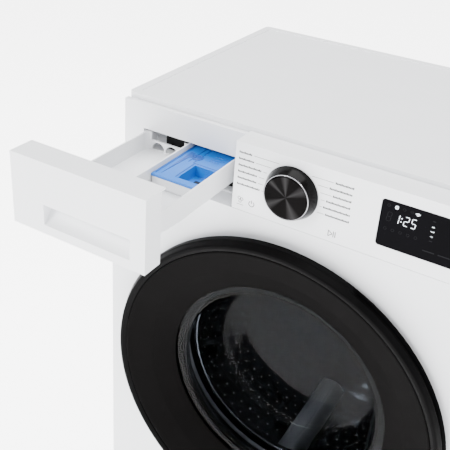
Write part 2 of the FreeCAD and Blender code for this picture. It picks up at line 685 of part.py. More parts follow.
teeth = [swung((82, 118), (157, 175), (-4, 4), 360 * number / TEETH) for number in range(TEETH)]
node("stator", fuse(stator_ring, foot_ring, *teeth))
DAMPERS = ("-damper_across", "damper_across")
node("damper_rods", group(*[rod("z", (x, 60), (108, 205), 5) for x in DAMPERS]))
node(
    "damper_cylinders",
    group(*[cut(rod("z", (x, 60), (23.1, 165), 13), rod("z", (x, 60), (60, 170), 5.06)) for x in DAMPERS]),
)


def coil(x):
    """A coil spring hung at x, on its own axis."""
    helix = Part.makeHelix(11, 176, 10)
    wire = Part.Wire(helix.Edges)
    ring = Part.Wire([Part.Circle(FreeCAD.Vector(10, 0, 0), FreeCAD.Vector(0, 1, 0), 1.6).toShape()])
    spring = new("Part::Feature")
    spring.Shape = wire.makePipeShell([ring], True, True)
    bind(spring, "Placement.Base.x", x)
    spring.Placement.Base.y = 60
    spring.Placement.Base.z = 603
    return spring


node("suspension_springs", group(coil("-spring_across"), coil("spring_across")))

# ---------------------------------------------------------------- drum and drive
node("drum_shell", tube("y", centre, (-174, 98), "drum_radius", "drum_radius - drum_wall"))
node(
    "drum_front_ring",
    turned([("drum_mouth", -168), ("drum_mouth", -176), ("drum_mouth + 3", -178), ("drum_radius - 8", -175.5),
            ("drum_radius", -175.5), ("drum_radius", -174.1), ("drum_radius - 8", -174), ("drum_mouth + 3.5", -176.5),
            ("drum_mouth + 1.5", -175), ("drum_mouth + 1.5", -168)]),
)
node("drum_back", cut(rod("y", centre, (98.1, 99.6), "drum_radius"), rod("y", centre, (90, 110), 14)))
arms = [swung((20, 230), (101, 110), (-14, 14), 90 + 120 * number) for number in range(3)]
node("drum_spider", cut(fuse(rod("y", centre, (100, 111), 44), *arms), rod("y", centre, (90, 120), "bearing_bore")))
node("drum_shaft", fuse(rod("y", centre, (100.5, 181.8), "shaft_radius"), rod("y", centre, (181.7, 200), 11.9)))
lifters = []
for number in range(3):
    rib = swung((-22, 22), (-160, 80), (202, 239.6), 60 + 120 * number)
    axis_at = FreeCAD.Vector(0, 0, sheet.axis_height)

    def from_axis(numbered):
        middle = numbered[1].CenterOfMass
        return (FreeCAD.Vector(middle.x, 0, middle.z) - axis_at).Length

    crest = new("Part::Chamfer")
    crest.Base = rib
    crest.Edges = [(place, 16, 16) for place, edge in sorted(edges_along(rib, "y"), key=from_axis)[:2]]
    lifter = new("Part::Common")
    lifter.Base = crest
    lifter.Tool = rod("y", centre, (-180, 100), "drum_radius - drum_wall - 0.4")
    lifters.append(lifter)
node("drum_lifters", group(*lifters))
node("rotor", turned([(12, 183), (119.5, 183), (119.5, 154), (128, 154), (128, 187), (12, 187)]))

# ---------------------------------------------------------------- check and write
doc.recompute()
bad = [thing.Label for thing in doc.Objects if "Invalid" in thing.State or "Error" in thing.State]
for name, thing in nodes.items():
    if thing.Shape.isNull() or not thing.Shape.isValid() or not thing.Shape.Solids:
        bad.append(name)
if bad:
    raise RuntimeError("these pieces failed: %s" % sorted(set(bad)))
os.makedirs("parts", exist_ok=True)
whole = FreeCAD.BoundBox()
for thing in nodes.values():
    whole.add(thing.Shape.BoundBox)
to_middle = FreeCAD.Vector(0, -round(whole.Center.y, 3), 0)
for name, thing in nodes.items():
    shape = thing.Shape.copy()
    shape.translate(to_middle)
    shape.exportStep("parts/%s.step" % name)
print("%d nodes written, moved %.3f mm along Y" % (len(nodes), to_middle.y))
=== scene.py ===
import json
import math

import bmesh
import bpy
from mathutils import Matrix, Vector


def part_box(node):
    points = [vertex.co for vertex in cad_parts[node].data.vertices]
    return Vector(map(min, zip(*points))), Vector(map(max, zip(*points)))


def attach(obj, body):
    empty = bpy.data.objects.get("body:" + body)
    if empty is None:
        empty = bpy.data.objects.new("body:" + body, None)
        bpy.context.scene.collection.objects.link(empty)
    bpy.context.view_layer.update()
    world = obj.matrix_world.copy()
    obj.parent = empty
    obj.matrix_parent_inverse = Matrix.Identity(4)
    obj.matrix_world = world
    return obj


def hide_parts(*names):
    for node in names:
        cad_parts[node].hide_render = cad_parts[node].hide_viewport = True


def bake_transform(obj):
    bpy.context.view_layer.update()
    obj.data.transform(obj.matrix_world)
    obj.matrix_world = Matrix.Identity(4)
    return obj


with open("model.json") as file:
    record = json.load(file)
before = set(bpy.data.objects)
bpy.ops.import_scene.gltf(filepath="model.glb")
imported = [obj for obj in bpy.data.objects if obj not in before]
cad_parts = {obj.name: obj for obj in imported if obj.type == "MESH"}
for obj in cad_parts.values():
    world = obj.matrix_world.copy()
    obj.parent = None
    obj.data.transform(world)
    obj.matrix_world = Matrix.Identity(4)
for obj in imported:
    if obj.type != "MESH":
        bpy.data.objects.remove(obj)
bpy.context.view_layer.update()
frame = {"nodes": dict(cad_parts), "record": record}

# Front load washing machine. Sizes and places are in millimetres and mesh code turns them
# into metres. The door and the drawer face -Y, +X is to the right seen from the front.
MM = 0.001


def span(node):
    """A node's lowest and highest corner, in millimetres."""
    low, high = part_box(node)
    return Vector(low) / MM, Vector(high) / MM


DRUM_LOW, DRUM_HIGH = span("drum_shell")
AXIS = (DRUM_LOW.z + DRUM_HIGH.z) / 2
FRONT = span("front_panel")[0].y
WINDOW = 177.0
DISPLAY_LOW = span("display_window")[0]
KNOB_LOW, KNOB_HIGH = span("knob_body")
KNOB_Z = (KNOB_LOW.z + KNOB_HIGH.z) / 2
KNOB_X = (KNOB_LOW.x + KNOB_HIGH.x) / 2


# ------------------------------------------------------------------ materials
class Recipe:
    """A node material built round one Principled shader."""

    def __init__(self, name):
        self.material = bpy.data.materials.new(name)
        self.material.use_nodes = True
        self.tree = self.material.node_tree
        self.shader = self.tree.nodes["Principled BSDF"]
        self.coords = self.tree.nodes.new("ShaderNodeTexCoord").outputs["Object"]

    def join(self, output, target):
        self.tree.links.new(output, target)

    def mapped(self, scale=(1, 1, 1), shift=(0, 0, 0)):
        mapping = self.tree.nodes.new("ShaderNodeMapping")
        mapping.inputs["Scale"].default_value = scale
        mapping.inputs["Location"].default_value = shift
        self.join(self.coords, mapping.inputs["Vector"])
        return mapping.outputs["Vector"]

    def noise(self, scale, detail=3.0, vector=None):
        noise = self.tree.nodes.new("ShaderNodeTexNoise")
        noise.inputs["Scale"].default_value = scale
        noise.inputs["Detail"].default_value = detail
        self.join(vector or self.coords, noise.inputs["Vector"])
        return noise.outputs["Fac"]

    def cells(self, scale):
        cells = self.tree.nodes.new("ShaderNodeTexVoronoi")
        cells.inputs["Scale"].default_value = scale
        self.join(self.coords, cells.inputs["Vector"])
        return cells.outputs["Color"]

    def rings(self, scale, shift):
        wave = self.tree.nodes.new("ShaderNodeTexWave")
        wave.wave_type = "RINGS"
        wave.rings_direction = "Y"
        wave.inputs["Scale"].default_value = scale
        self.join(self.mapped(shift=shift), wave.inputs["Vector"])
        return wave.outputs["Fac"]

    def colour(self, source, dark, light):
        ramp = self.tree.nodes.new("ShaderNodeValToRGB")
        ramp.color_ramp.elements[0].position = 0.3
        ramp.color_ramp.elements[0].color = (*dark, 1)
        ramp.color_ramp.elements[1].position = 0.7
        ramp.color_ramp.elements[1].color = (*light, 1)
        self.join(source, ramp.inputs["Fac"])
        self.join(ramp.outputs["Color"], self.shader.inputs["Base Color"])

    def roughness(self, source, low, high):
        spread = self.tree.nodes.new("ShaderNodeMapRange")
        spread.inputs["To Min"].default_value = low
        spread.inputs["To Max"].default_value = high
        self.join(source, spread.inputs["Value"])
        self.join(spread.outputs["Result"], self.shader.inputs["Roughness"])

    def bump(self, source, strength, height_mm):
        bump = self.tree.nodes.new("ShaderNodeBump")
        bump.inputs["Strength"].default_value = strength
        bump.inputs["Distance"].default_value = height_mm * MM
        self.join(source, bump.inputs["Height"])
        self.join(bump.outputs["Normal"], self.shader.inputs["Normal"])

    def set(self, **values):
        for name, value in values.items():
            self.shader.inputs[name.replace("_", " ")].default_value = value
        return self


def toned(colour, change):
    return tuple(min(1.0, channel * (1 + change)) for channel in colour)


def finish(name, colour, rough, grain=900, depth=0.02, strength=0.15, tint=0.03, spread=0.05,
           **values):
    """A moulded or painted surface: slight colour drift, uneven gloss and a fine grain."""
    recipe = Recipe(name).set(**values)
    drift = recipe.noise(14)
    fine = recipe.noise(grain, detail=4)
    recipe.colour(drift, toned(colour, -tint), toned(colour, tint))
    recipe.roughness(recipe.noise(60), rough - spread, rough + spread)
    recipe.bump(fine, strength, depth)
    return recipe.material


def brushed(name, colour, rough, scale, tint=0.08, strength=0.12, depth=0.01, **values):
    """Metal with brush marks; scale is how fast the marks change along X, Y and Z."""
    recipe = Recipe(name).set(Metallic=1.0, **values)
    marks = recipe.noise(1.0, detail=5, vector=recipe.mapped(scale=scale))
    recipe.colour(marks, toned(colour, -tint), toned(colour, tint))
    recipe.roughness(recipe.noise(18), rough - 0.05, rough + 0.07)
    recipe.bump(marks, strength, depth)
    return recipe.material


def galvanised():
    recipe = Recipe("galvanised_sheet").set(Metallic=1.0)
    recipe.colour(recipe.cells(70), (0.34, 0.35, 0.36), (0.46, 0.47, 0.48))
    recipe.roughness(recipe.noise(45), 0.32, 0.5)
    recipe.bump(recipe.noise(600), 0.1, 0.02)
    return recipe.material


def spun_metal(name, centre, rough):
    """Dark metal turned on a lathe: fine rings, and painted highlight wedges round the centre."""
    recipe = Recipe(name).set(Metallic=1.0, Anisotropic=0.85)
    shift = tuple(-value * MM for value in centre)
    rings = recipe.rings(420, shift)
    upright = recipe.tree.nodes.new("ShaderNodeMapping")
    upright.inputs["Rotation"].default_value = (math.radians(-90), 0, 0)
    recipe.join(recipe.mapped(shift=shift), upright.inputs["Vector"])
    # Painted highlights: the base colour is lighter in five wedges by angle round the knob's
    # centre, standing in for the spun face's reflections.
    fan = recipe.tree.nodes.new("ShaderNodeTexGradient")
    fan.gradient_type = "RADIAL"
    recipe.join(upright.outputs["Vector"], fan.inputs["Vector"])
    ramp = recipe.tree.nodes.new("ShaderNodeValToRGB")
    stops = ramp.color_ramp.elements
    dark, light = (0.0022, 0.0020, 0.0020, 1), (0.016, 0.0155, 0.0158, 1)
    stops[0].position, stops[0].color = 0.0, dark
    stops[1].position, stops[1].color = 1.0, dark
    highlight_wedges = ((0.10, 0.045), (0.33, 0.06), (0.60, 0.05), (0.77, 0.04), (0.90, 0.03))
    for middle, half in highlight_wedges:
        for place, colour in ((middle - half, dark), (middle, light), (middle + half, dark)):
            stops.new(place).color = colour
    recipe.join(fan.outputs["Fac"], ramp.inputs["Fac"])
    recipe.join(ramp.outputs["Color"], recipe.shader.inputs["Base Color"])
    recipe.roughness(recipe.noise(30), rough - 0.03, rough + 0.04)
    recipe.bump(rings, 0.05, 0.01)
    tangent = recipe.tree.nodes.new("ShaderNodeTangent")
    tangent.direction_type = "RADIAL"
    tangent.axis = "Y"
    recipe.join(tangent.outputs["Tangent"], recipe.shader.inputs["Tangent"])
    return recipe.material


def clear_glass():
    recipe = Recipe("door_glass_clear").set(IOR=1.11)
    recipe.shader.inputs["Transmission Weight"].default_value = 1.0
    recipe.colour(recipe.noise(6), (0.32, 0.335, 0.36), (0.36, 0.375, 0.40))
    recipe.roughness(recipe.noise(25), 0.0, 0.03)
    recipe.bump(recipe.noise(9), 0.04, 0.1)
    return recipe.material


def lit(name, colour, strength):
    """A lit or printed mark, with a slightly uneven glow."""
    recipe = Recipe(name).set(Roughness=0.4, Specular_IOR_Level=0.02)
    recipe.shader.inputs["Emission Strength"].default_value = strength
    recipe.shader.inputs["Emission Color"].default_value = (*colour, 1)
    recipe.colour(recipe.noise(300), toned(colour, -0.08), toned(colour, 0.04))
    return recipe.material


WHITE = (0.70, 0.71, 0.73)
CIRCLING = (6, 420, 6)  # brush marks that run round a Y axis
MATERIALS = {
    "white_steel": finish("white_enamel", WHITE, 0.32, grain=700, depth=0.03, strength=0.12,
                          tint=0.01),
    "white_plastic": finish("white_moulding", (0.71, 0.72, 0.74), 0.36, grain=1400, depth=0.015,
                            tint=0.01),
    "black_gloss": finish("black_lacquer", (0.0024, 0.0023, 0.0024), 0.36, grain=300, depth=0.01,
                          strength=0.05, tint=0.2, Specular_IOR_Level=0.015),
    "dark_satin": finish("dark_satin", (0.0022, 0.0020, 0.0020), 0.5, grain=1600, depth=0.02,
                         strength=0.25, tint=0.08, Specular_IOR_Level=0.01),
    "glass_clear": clear_glass(),
    "display_glass": finish("display_glass", (0.0009, 0.0008, 0.0014), 0.08, grain=200, depth=0.005,
                            strength=0.04, tint=0.2, spread=0.03, Specular_IOR_Level=0.02),
    "galvanised": galvanised(),
    "stainless": brushed("stainless_sheet", (0.26, 0.27, 0.28), 0.17, CIRCLING),
    "knob_black": finish("knob_black", (0.0018, 0.0016, 0.0016), 0.2, grain=900, depth=0.01,
                         tint=0.2, Specular_IOR_Level=0.06),
    "knob_metal": spun_metal("knob_face_metal", (KNOB_X, 0, KNOB_Z), 0.3),
    "tub_grey": finish("grey_moulding", (0.52, 0.53, 0.54), 0.5, grain=800, depth=0.04,
                       strength=0.25),
    "rubber_grey": finish("gasket_rubber", (0.022, 0.023, 0.025), 0.55, grain=600, depth=0.04,
                          strength=0.3, tint=0.1),
    "rubber_black": finish("black_rubber", (0.018, 0.018, 0.018), 0.6, grain=500, depth=0.05,
                           strength=0.3, tint=0.15),
    "concrete": finish("cast_concrete", (0.36, 0.355, 0.34), 0.85, grain=120, depth=0.6,
                       strength=0.6, tint=0.15),
    "cast_alloy": finish("cast_alloy", (0.50, 0.50, 0.51), 0.45, grain=350, depth=0.08,
                         strength=0.35, Metallic=1.0),
    "bearing_steel": finish("ground_steel", (0.6, 0.6, 0.61), 0.25, grain=400, depth=0.01,
                            Metallic=1.0),
    "blue_plastic": finish("blue_moulding", (0.002, 0.13, 0.50), 0.35, grain=900, depth=0.02,
                           tint=0.06),
    "circuit_green": finish("circuit_board", (0.02, 0.12, 0.05), 0.4, grain=250, depth=0.1,
                            strength=0.4, tint=0.2),
    "black_plastic": finish("black_moulding", (0.003, 0.003, 0.0032), 0.45, grain=900, depth=0.03,
                            tint=0.15, Specular_IOR_Level=0.08),
    "brass_thread": finish("valve_moulding", (0.76, 0.76, 0.77), 0.4, grain=900, depth=0.02),
    "copper_coil": brushed("copper_winding", (0.60, 0.27, 0.12), 0.35, (40, 900, 40)),
}
LIT_WHITE = lit("display_lit", (0.85, 0.92, 1.0), 1.1)
LIT_DIM = lit("display_dim", (0.006, 0.006, 0.007), 0.6)
PRINT_GREY = finish("printed_grey", (0.004, 0.004, 0.0044), 0.5, grain=900, depth=0.005, tint=0.06,
                    Specular_IOR_Level=0.05)
CHROME = brushed("knob_bright_rim", (0.22, 0.22, 0.23), 0.22, (200, 200, 200))
# A darker copy of the blue moulding: painted shade on the insert's ribs, arrow and cap.
PAINTED_SHADE_BLUE = finish("blue_moulding_shaded", (0.0015, 0.062, 0.30), 0.35, grain=900, depth=0.02,
                   tint=0.06)
# Near-black plate colour: painted shade standing in for the dark siphon mouth in the insert's
# pocket.
PAINTED_SIPHON_SHADE = finish("siphon_shadow", (0.0035, 0.0045, 0.007), 0.5, grain=700, depth=0.03, tint=0.2)


def dress_nodes():
    """Gives every CAD node the material of its slot."""
    for part in frame["record"]["subparts"]:
        holder = frame["nodes"][part["node"]]
        material = MATERIALS[part["material_slot"]]
        if not holder.material_slots:
            holder.data.materials.append(material)
        for socket in holder.material_slots:
            socket.material = material


# ------------------------------------------------------------------ mesh helpers
SHARP = 35  # edges that turn by more degrees than this are rounded, or shaded sharp
FLAT = 0.6  # triangles that turn less than this many degrees form one face


def piece(name, bm, material, body, replaced=(), smooth=SHARP):
    """Turns a bmesh in millimetres into a piece; it rides on a body when one is given."""
    bmesh.ops.scale(bm, vec=(MM, MM, MM), verts=bm.verts)
    bmesh.ops.recalc_face_normals(bm, faces=bm.faces)
    mesh = bpy.data.meshes.new(name)
    bm.to_mesh(mesh)
    bm.free()
    mesh.materials.append(material)
    mesh.shade_smooth()
    mesh.set_sharp_from_angle(angle=math.radians(smooth))
    thing = bpy.data.objects.new(name, mesh)
    bpy.context.scene.collection.objects.link(thing)
    if body:
        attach(thing, body)
    if replaced:
        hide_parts(*replaced)
    return thing


def soften_edges(thing, width, segments=2):
    """Rounds a piece's sharp edges over a width in millimetres."""
    bevel = thing.modifiers.new("Rounded", "BEVEL")
    bevel.width = width * MM
    bevel.segments = segments
    bevel.limit_method = "ANGLE"
    bevel.angle_limit = math.radians(SHARP)
    bevel.harden_normals = True


def thicken(thing, name, thickness, offset):
    """Turns an open surface into a wall; offset is -1 on its back, 1 on its front."""
    wall = thing.modifiers.new(name, "SOLIDIFY")
    wall.thickness = thickness * MM
    wall.offset = offset


def softened(node, body, width, segments=2, merged=True):
    """A copy of a node's shape with rounded edges; merged joins its flat triangles first."""
    source = frame["nodes"][node]
    bm = bmesh.new()
    bm.from_mesh(source.data)
    bmesh.ops.transform(bm, matrix=source.matrix_world, verts=bm.verts)
    bmesh.ops.scale(bm, vec=(1 / MM, 1 / MM, 1 / MM), verts=bm.verts)
    bmesh.ops.remove_doubles(bm, verts=bm.verts, dist=0.01)
    if merged:
        bmesh.ops.dissolve_limit(bm, angle_limit=math.radians(FLAT), verts=bm.verts, edges=bm.edges)
    parts = frame["record"]["subparts"]
    slot = next(part["material_slot"] for part in parts if part["node"] == node)
    soft = piece(node + "_soft", bm, MATERIALS[slot], body, (node,))
    soften_edges(soft, width, segments)


def rounded_outline(points, radius, steps=4):
    """A closed outline with each corner turned into a small arc."""
    result = []
    total = len(points)
    for index, corner in enumerate(points):
        here = Vector(corner)
        before = Vector(points[index - 1]) - here
        after = Vector(points[(index + 1) % total]) - here
        reach = min(radius, 0.45 * before.length, 0.45 * after.length)
        if here.x < 0.01 or reach < 0.01:
            result.append(here)
            continue
        start = here + before.normalized() * reach
        end = here + after.normalized() * reach
        for step in range(steps + 1):
            t = step / steps
            result.append(start * (1 - t) ** 2 + here * 2 * t * (1 - t) + end * t ** 2)
    return result


def grid_faces(bm, rows, closed_rows, closed_columns):
    """Quads between neighbouring rows of vertices."""
    total = len(rows)
    for index in range(total if closed_rows else total - 1):
        near, far = rows[index], rows[(index + 1) % total]
        count = len(near)
        for place in range(count if closed_columns else count - 1):
            following = (place + 1) % count
            corners = [near[place], near[following], far[following], far[place]]
            unique = list(dict.fromkeys(corners))
            if len(unique) > 2:
                bm.faces.new(unique)


def swept(profile_at, angles, x=0.0, z=AXIS):
    """A ring about a Y axis; profile_at(angle) gives its (radius, y) outline there."""
    bm = bmesh.new()
    rows = []
    for angle in angles:
        row = []
        for radius, y in profile_at(angle):
            row.append(bm.verts.new((x + radius * math.cos(angle), y,
                                     z + radius * math.sin(angle))))
        rows.append(row)
    grid_faces(bm, rows, True, True)
    bmesh.ops.remove_doubles(bm, verts=bm.verts, dist=0.001)
    return bm


def even_angles(steps):
    return [2 * math.pi * step / steps for step in range(steps)]


def lathe(points, radius=1.0, steps=200, x=0.0, z=AXIS, corner=4):
    """A solid of revolution about a Y axis, with rounded corners."""
    outline = rounded_outline(points, radius, corner)
    return swept(lambda angle: outline, even_angles(steps), x, z)


def upright_lathe(points, radius, x, y, steps=48):
    """A solid of revolution about a Z axis from (radius, z) points."""
    outline = rounded_outline(points, radius)
    bm = bmesh.new()
    rows = []
    for angle in even_angles(steps):
        row = []
        for reach, z in outline:
            row.append(bm.verts.new((x + reach * math.cos(angle), y + reach * math.sin(angle), z)))
        rows.append(row)
    grid_faces(bm, rows, True, True)
    bmesh.ops.remove_doubles(bm, verts=bm.verts, dist=0.001)
    return bm


# ------------------------------------------------------------------ drum
def perforated_drum():
    """The drum's wall: staggered holes, each in a small dimple."""
    radius, wall = (DRUM_HIGH.x - DRUM_LOW.x) / 2, 1.2
    start, end = DRUM_LOW.y, DRUM_HIGH.y
    columns, rows = 72, 14
    pitch = (end - start) / rows
    turn = 2 * math.pi / columns
    hole, dimple, depth = 1.9, 5.0, 1.0
    bumps_round, bumps_along, bump_radius, bump_height = 22, 4, 24.0, 6.0
    bm = bmesh.new()

    def bump(angle, y):
        """Height of the large pressed bumps, in a staggered pattern."""
        along = (y - start) / (end - start) * bumps_along
        row = min(bumps_along - 1, max(0, int(along)))
        step = 2 * math.pi / bumps_round
        shifted = (angle - 0.5 * step * (row % 2)) / step
        off_round = (shifted - round(shifted)) * step * radius
        off_along = (along - row - 0.5) * (end - start) / bumps_along
        away = min(1.0, math.hypot(off_round, off_along) / bump_radius)
        return bump_height * (0.5 + 0.5 * math.cos(math.pi * away))

    def at(angle, y, inward=0.0):
        reach = radius - wall - inward - bump(angle, y)
        return bm.verts.new((reach * math.sin(angle), y, AXIS + reach * math.cos(angle)))

    corners = [(-1, -1), (0, -1), (1, -1), (1, 0), (1, 1), (0, 1), (-1, 1), (-1, 0)]
    steps_in = ((dimple, 0.0), (dimple * 0.66, depth * 0.75), (hole, depth))
    for row in range(rows):
        for column in range(columns):
            middle = (column + 0.5 * (row % 2)) * turn
            y = start + (row + 0.5) * pitch
            loops = [[at(middle + a * turn / 2, y + b * pitch / 2) for a, b in corners]]
            for reach, inward in steps_in:
                around = []
                for a, b in corners:
                    length = math.hypot(a, b)
                    turned = middle + reach * a / length / radius
                    around.append(at(turned, y + reach * b / length, inward))
                loops.append(around)
            grid_faces(bm, loops, False, True)
    bmesh.ops.remove_doubles(bm, verts=bm.verts, dist=0.02)
    sheet = piece("drum_wall", bm, MATERIALS["stainless"], "drum", ("drum_shell",),
                  smooth=60)
    thicken(sheet, "Sheet", wall * 0.9, 1.0)


def drum_end():
    """The back of the drum, pressed into three broad arms, a ring and circles of domes."""
    low, high = span("drum_back")
    radius = (high.x - low.x) / 2 - 0.3
    face = low.y
    hub, rings, spokes = 16, 76, 288
    first_circle, circle_pitch, dome_pitch, dome_radius, dome_height = 62, 46, 50, 15, 4.0
    arms, arm_middle, arm_spread, arm_height = 3, 120, 70, 6.0
    ring_middle, ring_half, ring_height = 205, 16, 3.0
    bm = bmesh.new()
    rows = []

    def dome(reach, angle):
        """Round bumps in circles about the axis; every second circle is turned half a step."""
        band = max(0, round((reach - first_circle) / circle_pitch))
        middle = first_circle + circle_pitch * band
        step = 2 * math.pi / round(2 * math.pi * middle / dome_pitch)
        turns = (angle - 0.5 * step * (band % 2)) / step
        off_round = (turns - round(turns)) * step * middle
        away = min(1.0, math.hypot(off_round, reach - middle) / dome_radius)
        return 0.5 + 0.5 * math.cos(math.pi * away)

    for index in range(rings + 1):
        reach = hub + (radius - hub) * index / rings
        fade = math.exp(-((reach - arm_middle) / arm_spread) ** 2)
        ring = 0.5 + 0.5 * math.cos(min(1.0, abs(reach - ring_middle) / ring_half) * math.pi)
        row = []
        for angle in even_angles(spokes):
            arm = max(0.0, math.cos(arms * angle)) ** 2 * fade
            push = arm_height * arm + ring_height * ring + dome_height * dome(reach, angle)
            x, z = reach * math.sin(angle), AXIS + reach * math.cos(angle)
            row.append(bm.verts.new((x, face - push, z)))
        rows.append(row)
    grid_faces(bm, rows, False, True)
    sheet = piece("drum_end", bm, MATERIALS["stainless"], "drum", ("drum_back",),
                  smooth=60)
    thicken(sheet, "Sheet", 1.2, 0.0)


def lifter(number):
    """One paddle inside the drum: a hollow moulded ridge with rounded ends and two grooves."""
    turn = math.radians(60 + 120 * number)
    base, height, half = 239.0, 37.0, 24.0
    start, end = DRUM_LOW.y + 16, DRUM_HIGH.y - 18
    across, along = 24, 60
    groove_depth, groove_place, groove_width = 1.6, 0.34, 0.07
    bm = bmesh.new()
    rows = []
    for i in range(along + 1):
        s = i / along
        y = start + (end - start) * s
        end_rise = min(1.0, min(s, 1 - s) * 9.0)
        end_rise = math.sin(end_rise * math.pi / 2) ** 0.8
        row = []
        for j in range(across + 1):
            u = -1 + 2 * j / across
            side = math.cos(abs(u) ** 2.6 * math.pi / 2)
            groove = groove_depth * math.exp(-((abs(u) - groove_place) / groove_width) ** 2)
            groove *= 0.15 < s < 0.85
            lift = height * side * end_rise - groove * end_rise
            flare = half * u
            edge = math.sqrt(base ** 2 - flare ** 2) - lift
            x = flare * math.cos(turn) + edge * math.sin(turn)
            z = -flare * math.sin(turn) + edge * math.cos(turn)
            row.append(bm.verts.new((x, y, AXIS + z)))
        rows.append(row)
    grid_faces(bm, rows, False, False)
    rib = piece("lifter_%d" % number, bm, MATERIALS["tub_grey"], "drum", smooth=50)
    thicken(rib, "Wall", 2.0, -1.0)
    return rib


def drum():
    perforated_drum()
    drum_end()
    ribs = [lifter(number) for number in range(3)]
    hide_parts("drum_lifters")
    mouth, rim, face = 172.0, 240.9, span("drum_front_ring")[0].y
    outline = [(mouth, face + 9), (mouth, face + 2), (mouth + 3, face), (mouth + 20, face + 1.5),
               (mouth + 60, face + 2.5), (rim, face + 2.6), (rim, face + 4), (mouth + 60, face + 4),
               (mouth + 20, face + 3.4),
               (mouth + 4, face + 2), (mouth + 2, face + 4), (mouth + 2, face + 9)]
    piece("drum_mouth_ring", lathe(outline, 1.5), MATERIALS["stainless"], "drum",
          ("drum_front_ring",))


# ------------------------------------------------------------------ door
def door_rim():
    """The black rim: flared side wall, finger grip on the right, a notch for the hinge."""
    grip_half, grip_fade = math.radians(68), math.radians(3)
    low, high = span("door_frame")
    outer = (high.x - low.x) / 2
    front, back = low.y, high.y
    bore, lip = outer - 18, outer - 7
    grip_depth, grip_front = 7.4, back - 12.6
    notch_half, notch_back = 46.5, front + 4.0

    def grip(angle):
        """How much of the finger grip is cut here, from 0 to 1."""
        swing = abs(math.atan2(math.sin(angle), math.cos(angle)))
        return min(1.0, max(0.0, (grip_half - swing) / grip_fade))

    def outline(angle):
        cut = grip_depth * grip(angle)
        points = rounded_outline(
            [(bore, back), (outer - 3, back), (outer - 0.1, back - 3.2),
             (outer - 0.2 - cut, back - 4), (outer - 1.2 - cut, grip_front + 0.6),
             (outer - 2.4, grip_front - 0.8), (lip + 1.4, front + 2), (lip, front),
             (lip - 4, front), (bore + 2, front + 2.5), (bore, front + 8)], 1.2)
        in_notch = math.cos(angle) < 0 and abs(outer * math.sin(angle)) < notch_half
        if in_notch:
            points = [Vector((min(point.x, lip + 1), min(point.y, notch_back))) for point in points]
        return points

    edge, tiny = math.asin(notch_half / outer), 0.0004
    extra = [math.pi + side * edge + shift for side in (-1, 1) for shift in (-tiny, tiny)]
    angles = sorted(even_angles(360) + extra)
    piece("door_rim", swept(outline, angles), MATERIALS["black_gloss"], "door",
          ("door_frame",))


def door_dish():
    """The satin ring that falls from the rim to the window."""
    low, high = span("door_trim_ring")
    outer = (high.x - low.x) / 2 - 0.5
    front, window = low.y, WINDOW
    back = high.y
    outline = [(outer, front), (outer, front + 4), (window + 2.6, back), (window, back - 1.4),
               (window, back - 3.1), (window + 1.6, back - 4.2), (outer - 40, front + 15.2),
               (outer - 3, front)]
    piece("door_dish", lathe(outline, 1.2, steps=240), MATERIALS["dark_satin"], "door",
          ("door_trim_ring",))


def door_bowl():
    """The glass: a flange and a deep bowl with soft corners."""
    low, high = span("door_glass")
    rim, flange, deep = (high.x - low.x) / 2, low.y, high.y
    outline = [(rim, flange), (rim, flange + 2.8), (164, flange + 2.8), (146, deep - 15),
               (138, deep - 6), (110, deep - 2), (0, deep), (0, deep - 4), (108, deep - 6),
               (135, deep - 10), (142, deep - 17), (160, flange)]
    piece("door_bowl", lathe(outline, 7.0, steps=240, corner=8), MATERIALS["glass_clear"], "door",
          ("door_glass",), smooth=50)


def door():
    door_rim()
    door_dish()
    door_bowl()
    softened("door_inner_ring", "door", 0.6, segments=2)
    softened("hinge_leaf", "door", 0.8, segments=2)
    softened("hinge_bracket", "cabinet", 0.8, segments=2)
    softened("latch_hook", "latch", 0.4, segments=2)


# ------------------------------------------------------------------ rubber
def gasket():
    """The folded door seal, from the front panel's port to the tub's mouth."""
    folds = [(207, 2), (211.6, 2), (211.6, 24), (206, 32), (206, 40), (196, 47.5), (196, 49.6),
             (183.2, 49.6), (183.2, 46), (192, 44), (202, 37), (202, 32), (180, 31), (165, 29),
             (163, 26), (165, 24.4), (181, 27), (207, 23)]
    outline = [(radius, FRONT + behind) for radius, behind in folds]
    seal = piece("door_seal", lathe(outline, 2.2, steps=240), MATERIALS["rubber_grey"], None,
                 ("door_gasket",))
    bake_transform(seal)


def bellows(name, node, low_end, folds):
    """A corrugated rubber hose on a vertical axis; low_end names the body at its low end, but the
    hose is fixed in place either way.
    """
    low, high = span(node)
    x, y = (low.x + high.x) / 2, (low.y + high.y) / 2
    outer = (high.x - low.x) / 2
    inner = outer - 3.6
    outer_fold, inner_fold = 2.2, 0.9
    length = high.z - low.z
    cuff = 14.0
    outside, inside = [], []
    steps = folds * 8
    for step in range(steps + 1):
        z = low.z + cuff + (length - 2 * cuff) * step / steps
        wave = 0.5 - 0.5 * math.cos(2 * math.pi * folds * step / steps)
        outside.append((outer - outer_fold * wave, z))
        inside.append((inner - inner_fold * wave, z))
    mouth = outer - 1.2
    outline = [(mouth, low.z)] + outside + [(mouth, high.z), (inner, high.z)]
    outline += inside[::-1] + [(inner, low.z)]
    bm = upright_lathe(outline, 0.4, x, y, steps=64)
    hose = piece(name, bm, MATERIALS["rubber_black"], None, (node,), smooth=60)
    if low_end == "tub":
        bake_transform(hose)
    else:
        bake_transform(hose)


